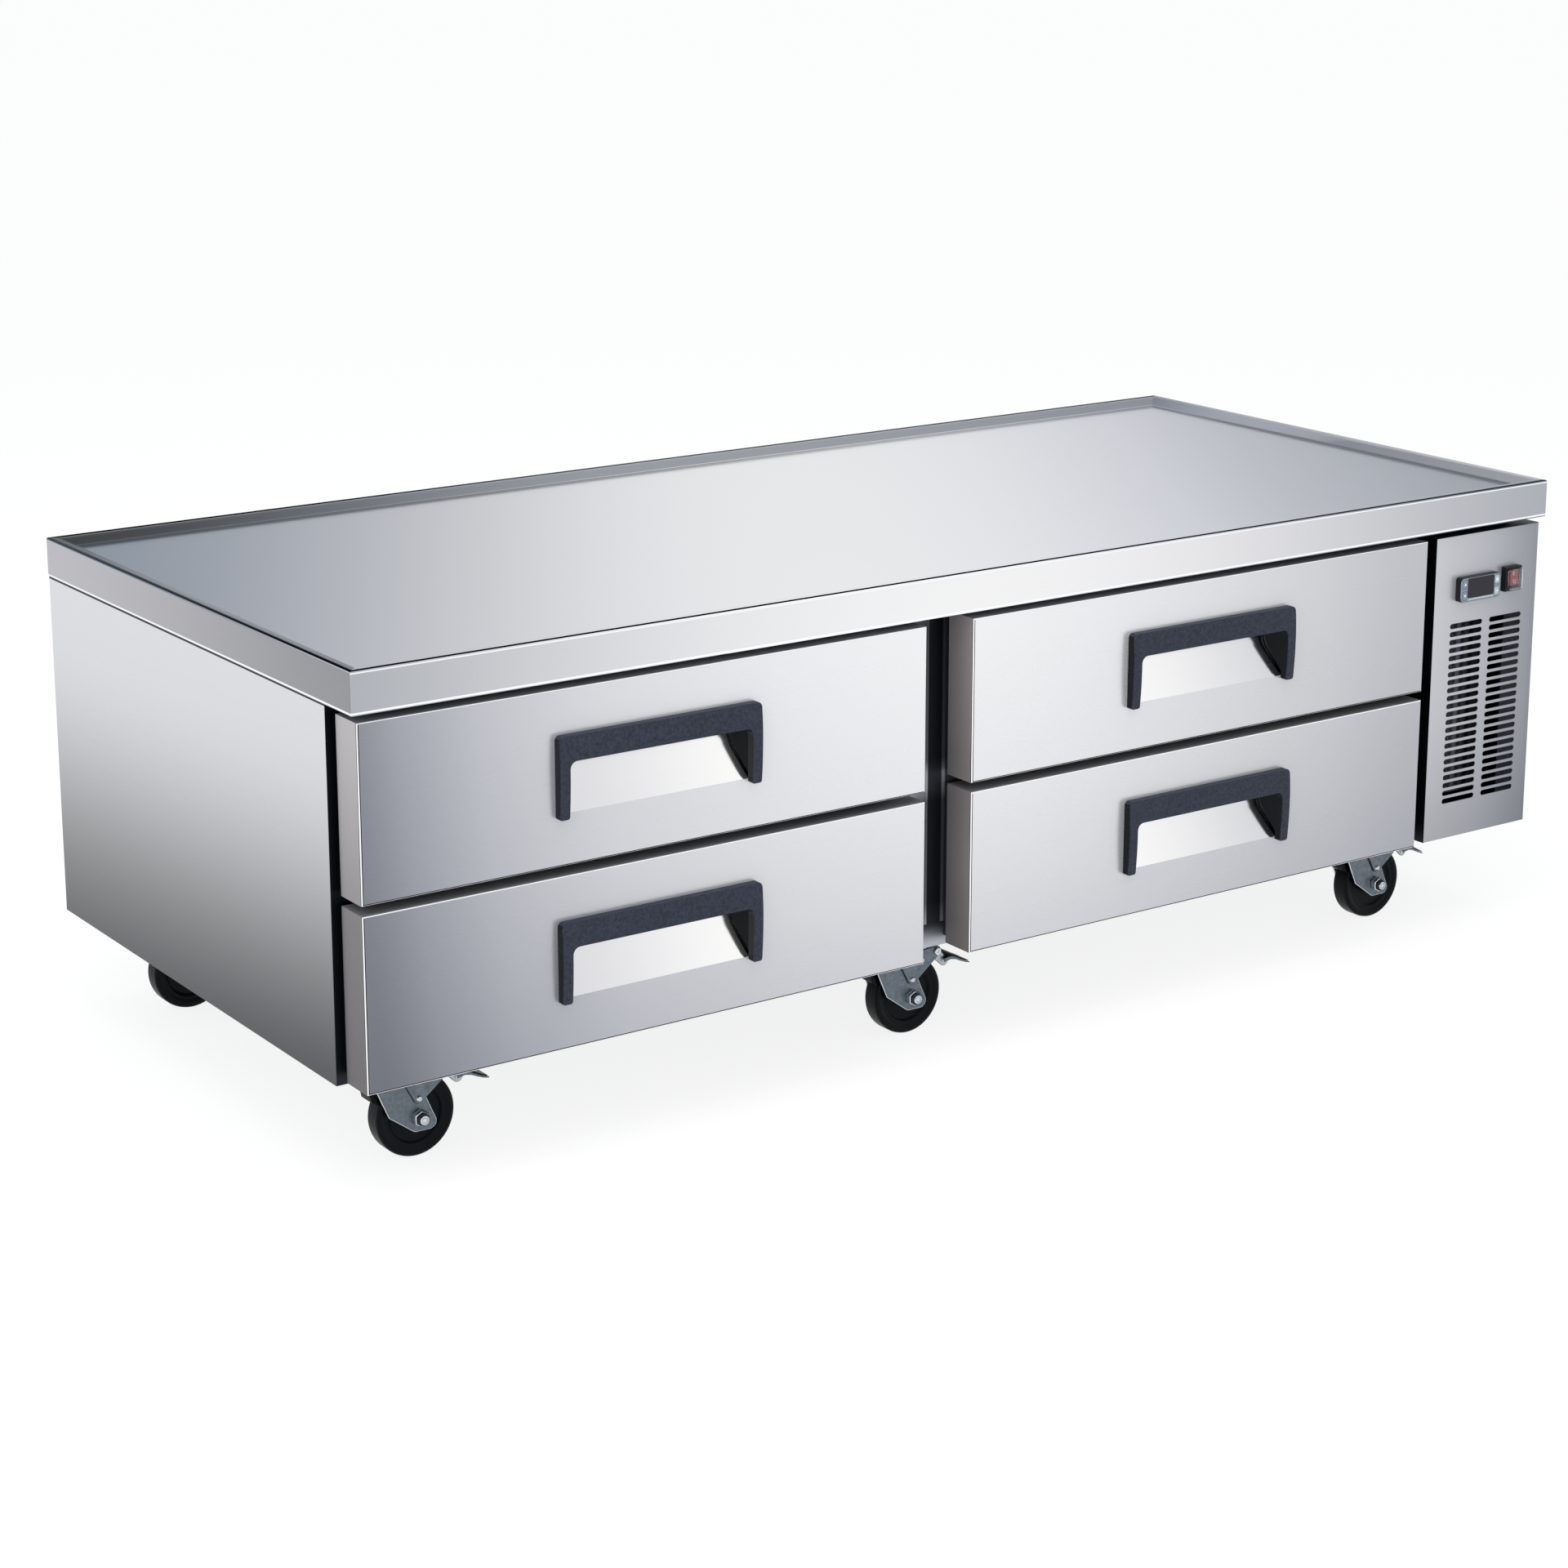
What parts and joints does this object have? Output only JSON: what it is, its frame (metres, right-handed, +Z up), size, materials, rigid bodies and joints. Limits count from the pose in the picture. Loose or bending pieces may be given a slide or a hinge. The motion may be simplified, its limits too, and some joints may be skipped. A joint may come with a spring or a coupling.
{
  "type": "refrigerated chef base",
  "caption": "Low refrigerated cabinet on swivel casters with chilled drawers for food pans under a steel worktop that carries cooking equipment, and a cooling unit at one side.",
  "frame": {"origin": "on the floor, under the centre of the bounding box", "axes": "+X to the right along the drawers, +Y from the drawer fronts to the back, +Z up"},
  "size_m": [1.838, 0.832, 0.621],
  "materials": {
    "stainless_top": "satin",
    "stainless_sheet": "satin",
    "galvanised_sheet": "satin",
    "foam": "matte",
    "zinc_steel": "satin",
    "handle_plastic": "matte",
    "gasket_rubber": "matte",
    "wheel_rubber": "matte",
    "controller_plastic": "satin",
    "key_plastic": "satin",
    "rocker_red": "gloss",
    "coil_aluminium": "satin",
    "black_paint": "satin"
  },
  "bodies": {
    "cabinet": {"worktop": "stainless_top", "left_side_panel": "stainless_sheet", "right_side_panel": "stainless_sheet", "back_panel": "galvanised_sheet", "bottom_panel": "galvanised_sheet", "insulation": "foam", "inner_liner": "stainless_sheet", "face_frame": "stainless_sheet", "cabinet_slides": "zinc_steel", "caster_plates": "zinc_steel", "grille_panel": "stainless_sheet", "controller": "controller_plastic", "switch_housing": "controller_plastic", "condenser_coil": "coil_aluminium", "condenser_shroud": "galvanised_sheet", "evaporator_coil": "coil_aluminium", "evaporator_housing": "galvanised_sheet", "compressor": "black_paint"},
    "lower_left_drawer": {"lower_left_drawer_front": "stainless_sheet", "lower_left_handle": "handle_plastic", "lower_left_gasket": "gasket_rubber", "lower_left_drawer_frame": "stainless_sheet"},
    "lower_left_slide_members": {"lower_left_middle_slides": "zinc_steel"},
    "upper_left_drawer": {"upper_left_drawer_front": "stainless_sheet", "upper_left_handle": "handle_plastic", "upper_left_gasket": "gasket_rubber", "upper_left_drawer_frame": "stainless_sheet"},
    "upper_left_slide_members": {"upper_left_middle_slides": "zinc_steel"},
    "lower_right_drawer": {"lower_right_drawer_front": "stainless_sheet", "lower_right_handle": "handle_plastic", "lower_right_gasket": "gasket_rubber", "lower_right_drawer_frame": "stainless_sheet"},
    "lower_right_slide_members": {"lower_right_middle_slides": "zinc_steel"},
    "upper_right_drawer": {"upper_right_drawer_front": "stainless_sheet", "upper_right_handle": "handle_plastic", "upper_right_gasket": "gasket_rubber", "upper_right_drawer_frame": "stainless_sheet"},
    "upper_right_slide_members": {"upper_right_middle_slides": "zinc_steel"},
    "front_left_swivel": {"front_left_caster_fork": "zinc_steel"},
    "front_left_rolling_wheel": {"front_left_wheel": "wheel_rubber"},
    "front_middle_swivel": {"front_middle_caster_fork": "zinc_steel"},
    "front_middle_rolling_wheel": {"front_middle_wheel": "wheel_rubber"},
    "front_right_swivel": {"front_right_caster_fork": "zinc_steel"},
    "front_right_rolling_wheel": {"front_right_wheel": "wheel_rubber"},
    "rear_left_swivel": {"rear_left_caster_fork": "zinc_steel"},
    "rear_left_rolling_wheel": {"rear_left_wheel": "wheel_rubber"},
    "rear_middle_swivel": {"rear_middle_caster_fork": "zinc_steel"},
    "rear_middle_rolling_wheel": {"rear_middle_wheel": "wheel_rubber"},
    "rear_right_swivel": {"rear_right_caster_fork": "zinc_steel"},
    "rear_right_rolling_wheel": {"rear_right_wheel": "wheel_rubber"},
    "front_left_pedal": {"front_left_brake_pedal": "zinc_steel"},
    "front_middle_pedal": {"front_middle_brake_pedal": "zinc_steel"},
    "front_right_pedal": {"front_right_brake_pedal": "zinc_steel"},
    "key_upper_left_cap": {"key_upper_left": "key_plastic"},
    "key_lower_left_cap": {"key_lower_left": "key_plastic"},
    "key_upper_right_cap": {"key_upper_right": "key_plastic"},
    "key_lower_right_cap": {"key_lower_right": "key_plastic"},
    "switch_rocker": {"rocker": "rocker_red"},
    "condenser_fan_blades": {"condenser_fan": "coil_aluminium"},
    "evaporator_fan_blades": {"evaporator_fan": "coil_aluminium"}
  },
  "joints": [
    {"name": "lower_left_drawer_slide", "type": "slide", "parent": "cabinet", "child": "lower_left_drawer", "axis": [0, -1, 0], "range_m": [0, 0.56]},
    {"name": "lower_left_member_slide", "type": "slide", "parent": "cabinet", "child": "lower_left_slide_members", "axis": [0, -1, 0], "range_m": [0, 0.28]},
    {"name": "upper_left_drawer_slide", "type": "slide", "parent": "cabinet", "child": "upper_left_drawer", "axis": [0, -1, 0], "range_m": [0, 0.56]},
    {"name": "upper_left_member_slide", "type": "slide", "parent": "cabinet", "child": "upper_left_slide_members", "axis": [0, -1, 0], "range_m": [0, 0.28]},
    {"name": "lower_right_drawer_slide", "type": "slide", "parent": "cabinet", "child": "lower_right_drawer", "axis": [0, -1, 0], "range_m": [0, 0.56]},
    {"name": "lower_right_member_slide", "type": "slide", "parent": "cabinet", "child": "lower_right_slide_members", "axis": [0, -1, 0], "range_m": [0, 0.28]},
    {"name": "upper_right_drawer_slide", "type": "slide", "parent": "cabinet", "child": "upper_right_drawer", "axis": [0, -1, 0], "range_m": [0, 0.56]},
    {"name": "upper_right_member_slide", "type": "slide", "parent": "cabinet", "child": "upper_right_slide_members", "axis": [0, -1, 0], "range_m": [0, 0.28]},
    {"name": "front_left_swivel_turn", "type": "hinge", "parent": "cabinet", "child": "front_left_swivel", "pos_m": [-0.829, -0.286, 0.1137], "axis": [0, 0, 1], "continuous": true},
    {"name": "front_left_wheel_roll", "type": "hinge", "parent": "front_left_swivel", "child": "front_left_rolling_wheel", "pos_m": [-0.796, -0.286, 0.0508], "axis": [0, 1, 0], "continuous": true},
    {"name": "front_left_brake_press", "type": "hinge", "parent": "front_left_swivel", "child": "front_left_pedal", "pos_m": [-0.759, -0.286, 0.1055], "axis": [0, 1, 0], "range_deg": [0, 12]},
    {"name": "front_middle_swivel_turn", "type": "hinge", "parent": "cabinet", "child": "front_middle_swivel", "pos_m": [-0.12, -0.286, 0.1137], "axis": [0, 0, 1], "continuous": true},
    {"name": "front_middle_wheel_roll", "type": "hinge", "parent": "front_middle_swivel", "child": "front_middle_rolling_wheel", "pos_m": [-0.087, -0.286, 0.0508], "axis": [0, 1, 0], "continuous": true},
    {"name": "front_middle_brake_press", "type": "hinge", "parent": "front_middle_swivel", "child": "front_middle_pedal", "pos_m": [-0.05, -0.286, 0.1055], "axis": [0, 1, 0], "range_deg": [0, 12]},
    {"name": "front_right_swivel_turn", "type": "hinge", "parent": "cabinet", "child": "front_right_swivel", "pos_m": [0.691, -0.286, 0.1137], "axis": [0, 0, 1], "continuous": true},
    {"name": "front_right_wheel_roll", "type": "hinge", "parent": "front_right_swivel", "child": "front_right_rolling_wheel", "pos_m": [0.724, -0.286, 0.0508], "axis": [0, 1, 0], "continuous": true},
    {"name": "front_right_brake_press", "type": "hinge", "parent": "front_right_swivel", "child": "front_right_pedal", "pos_m": [0.761, -0.286, 0.1055], "axis": [0, 1, 0], "range_deg": [0, 12]},
    {"name": "rear_left_swivel_turn", "type": "hinge", "parent": "cabinet", "child": "rear_left_swivel", "pos_m": [-0.829, 0.318, 0.1137], "axis": [0, 0, 1], "continuous": true},
    {"name": "rear_left_wheel_roll", "type": "hinge", "parent": "rear_left_swivel", "child": "rear_left_rolling_wheel", "pos_m": [-0.796, 0.318, 0.0508], "axis": [0, 1, 0], "continuous": true},
    {"name": "rear_middle_swivel_turn", "type": "hinge", "parent": "cabinet", "child": "rear_middle_swivel", "pos_m": [-0.12, 0.318, 0.1137], "axis": [0, 0, 1], "continuous": true},
    {"name": "rear_middle_wheel_roll", "type": "hinge", "parent": "rear_middle_swivel", "child": "rear_middle_rolling_wheel", "pos_m": [-0.087, 0.318, 0.0508], "axis": [0, 1, 0], "continuous": true},
    {"name": "rear_right_swivel_turn", "type": "hinge", "parent": "cabinet", "child": "rear_right_swivel", "pos_m": [0.691, 0.318, 0.1137], "axis": [0, 0, 1], "continuous": true},
    {"name": "rear_right_wheel_roll", "type": "hinge", "parent": "rear_right_swivel", "child": "rear_right_rolling_wheel", "pos_m": [0.724, 0.318, 0.0508], "axis": [0, 1, 0], "continuous": true},
    {"name": "key_upper_left_press", "type": "slide", "parent": "cabinet", "child": "key_upper_left_cap", "axis": [0, 1, 0], "range_m": [0, 0.0005], "stiffness_N_per_m": 1500, "springref_m": -0.0004},
    {"name": "key_lower_left_press", "type": "slide", "parent": "cabinet", "child": "key_lower_left_cap", "axis": [0, 1, 0], "range_m": [0, 0.0005], "stiffness_N_per_m": 1500, "springref_m": -0.0004},
    {"name": "key_upper_right_press", "type": "slide", "parent": "cabinet", "child": "key_upper_right_cap", "axis": [0, 1, 0], "range_m": [0, 0.0005], "stiffness_N_per_m": 1500, "springref_m": -0.0004},
    {"name": "key_lower_right_press", "type": "slide", "parent": "cabinet", "child": "key_lower_right_cap", "axis": [0, 1, 0], "range_m": [0, 0.0005], "stiffness_N_per_m": 1500, "springref_m": -0.0004},
    {"name": "rocker_tilt", "type": "hinge", "parent": "cabinet", "child": "switch_rocker", "pos_m": [0.863, -0.394, 0.4895], "axis": [1, 0, 0], "range_deg": [0, 18]},
    {"name": "condenser_fan_spin", "type": "hinge", "parent": "cabinet", "child": "condenser_fan_blades", "pos_m": [0.8195, -0.261, 0.3045], "axis": [0, 1, 0], "continuous": true},
    {"name": "evaporator_fan_spin", "type": "hinge", "parent": "cabinet", "child": "evaporator_fan_blades", "pos_m": [0.469, 0.294, 0.328], "axis": [0, 1, 0], "continuous": true}
  ],
  "couplings": [
    {"joint": "lower_left_member_slide", "follows": "lower_left_drawer_slide", "ratio": 0.5},
    {"joint": "upper_left_member_slide", "follows": "upper_left_drawer_slide", "ratio": 0.5},
    {"joint": "lower_right_member_slide", "follows": "lower_right_drawer_slide", "ratio": 0.5},
    {"joint": "upper_right_member_slide", "follows": "upper_right_drawer_slide", "ratio": 0.5}
  ]
}
